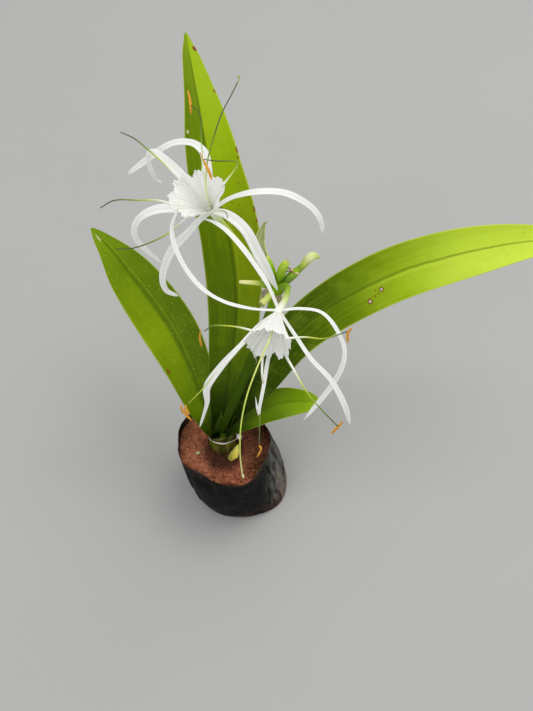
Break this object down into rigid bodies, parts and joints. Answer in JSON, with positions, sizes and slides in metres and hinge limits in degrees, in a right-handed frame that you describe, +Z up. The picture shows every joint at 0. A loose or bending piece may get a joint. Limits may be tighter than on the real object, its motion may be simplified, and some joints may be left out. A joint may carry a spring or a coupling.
{
  "type": "potted spider lily",
  "caption": "Flowering spider lily with strap leaves, a flattened flower stem and white toothed funnels with long narrow petals, growing in a small black nursery bag of soil.",
  "frame": {"origin": "centre of the nursery bag's flat bottom, on the surface that the bag stands on", "axes": "+Z up, -Y towards the viewer of the picture, +X to the picture's right"},
  "size_m": [0.4471, 0.345, 0.4532],
  "materials": {
    "black_film": "satin",
    "soil": "matte",
    "neck": "satin",
    "band": "matte",
    "dry_scale": "matte",
    "leaf": "satin",
    "scape": "satin",
    "petal": "matte",
    "bud": "satin",
    "cream": "satin",
    "spathe": "matte"
  },
  "bodies": {
    "root": {"grow_bag": "black_film", "soil": "soil", "bulb_and_neck": "neck", "tie_band": "band", "dead_sheath": "dry_scale", "leaf_back": "leaf", "leaf_left": "leaf", "leaf_right": "leaf", "leaf_front": "leaf", "scape": "scape", "bloom_upper": "petal", "bloom_lower": "petal", "bud_slender": "bud", "bud_ovoid": "bud", "bud_clubbed": "bud", "spent_tube": "bud", "bud_cream": "cream", "spathe_upright": "spathe", "spathe_left": "spathe", "spathe_lower": "spathe"}
  },
  "joints": []
}
